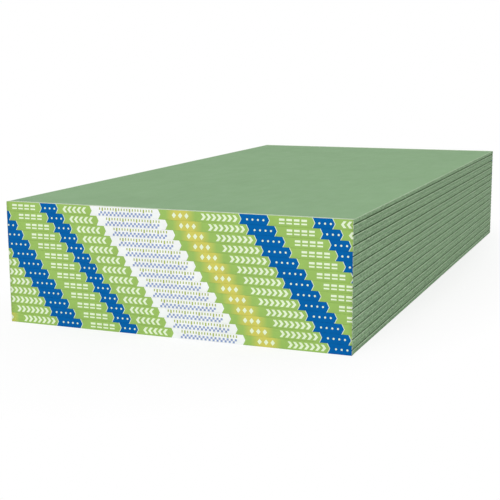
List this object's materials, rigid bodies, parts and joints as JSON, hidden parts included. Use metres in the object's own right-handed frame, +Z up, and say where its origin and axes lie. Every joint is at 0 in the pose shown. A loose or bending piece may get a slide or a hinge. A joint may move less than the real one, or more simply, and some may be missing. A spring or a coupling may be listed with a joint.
{
  "type": "drywall sheet stack",
  "caption": "Squared stack of green-faced drywall sheets with tapered, paper-wrapped long edges, bundled face to face by printed paper tape folded over their ends.",
  "frame": {"origin": "centre of the stack's underside, on the level floor that it lies on", "axes": "+X across the sheets' width, +Y along their length from the near taped end to the far one, +Z up"},
  "size_m": [1.2192, 2.4386, 0.4166],
  "materials": {
    "face_paper": "matte green face and back paper over a gypsum core",
    "end_tape": null
  },
  "bodies": {
    "root": {"sheet_01": "face_paper", "sheet_02": "face_paper", "sheet_03": "face_paper", "sheet_04": "face_paper", "sheet_05": "face_paper", "sheet_06": "face_paper", "sheet_07": "face_paper", "sheet_08": "face_paper", "sheet_09": "face_paper", "sheet_10": "face_paper", "sheet_11": "face_paper", "sheet_12": "face_paper", "sheet_13": "face_paper", "sheet_14": "face_paper", "sheet_15": "face_paper", "sheet_16": "face_paper", "sheet_17": "face_paper", "sheet_18": "face_paper", "sheet_19": "face_paper", "sheet_20": "face_paper", "sheet_21": "face_paper", "sheet_22": "face_paper", "sheet_23": "face_paper", "sheet_24": "face_paper", "sheet_25": "face_paper", "sheet_26": "face_paper", "end_tape_near_01": "end_tape", "end_tape_near_02": "end_tape", "end_tape_near_03": "end_tape", "end_tape_near_04": "end_tape", "end_tape_near_05": "end_tape", "end_tape_near_06": "end_tape", "end_tape_near_07": "end_tape", "end_tape_near_08": "end_tape", "end_tape_near_09": "end_tape", "end_tape_near_10": "end_tape", "end_tape_near_11": "end_tape", "end_tape_near_12": "end_tape", "end_tape_near_13": "end_tape", "end_tape_far_01": "end_tape", "end_tape_far_02": "end_tape", "end_tape_far_03": "end_tape", "end_tape_far_04": "end_tape", "end_tape_far_05": "end_tape", "end_tape_far_06": "end_tape", "end_tape_far_07": "end_tape", "end_tape_far_08": "end_tape", "end_tape_far_09": "end_tape", "end_tape_far_10": "end_tape", "end_tape_far_11": "end_tape", "end_tape_far_12": "end_tape", "end_tape_far_13": "end_tape"}
  },
  "joints": []
}
